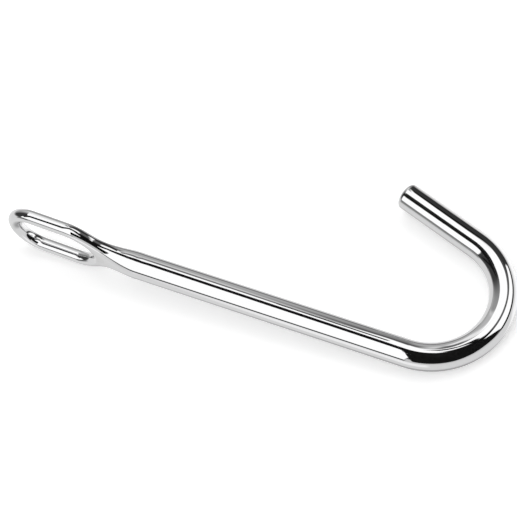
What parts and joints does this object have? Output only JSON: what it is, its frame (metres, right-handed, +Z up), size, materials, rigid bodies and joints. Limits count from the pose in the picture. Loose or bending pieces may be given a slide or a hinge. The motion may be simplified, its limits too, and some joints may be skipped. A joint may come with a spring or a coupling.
{
  "type": "meat hook",
  "caption": "Blunt hook of round bar with a long straight shank and an oblong welded eye square to the bend, for hanging cuts of meat from a rail.",
  "frame": {"origin": "on the surface that the hook lies on, under the middle of its bounding box", "axes": "+X along the shank from the eye to the bend, +Y towards the tip, +Z up from the surface"},
  "size_m": [0.2258, 0.083, 0.0308],
  "materials": {
    "polished_bar": "mirror-polished stainless steel",
    "polished_neck": "mirror-polished stainless steel",
    "polished_rod": "mirror-polished stainless steel",
    "polished_weld": "polished weld metal"
  },
  "bodies": {
    "root": {"hook_bar": "polished_bar", "neck": "polished_neck", "eye_rod": "polished_rod", "eye_web": "polished_weld"}
  },
  "joints": []
}
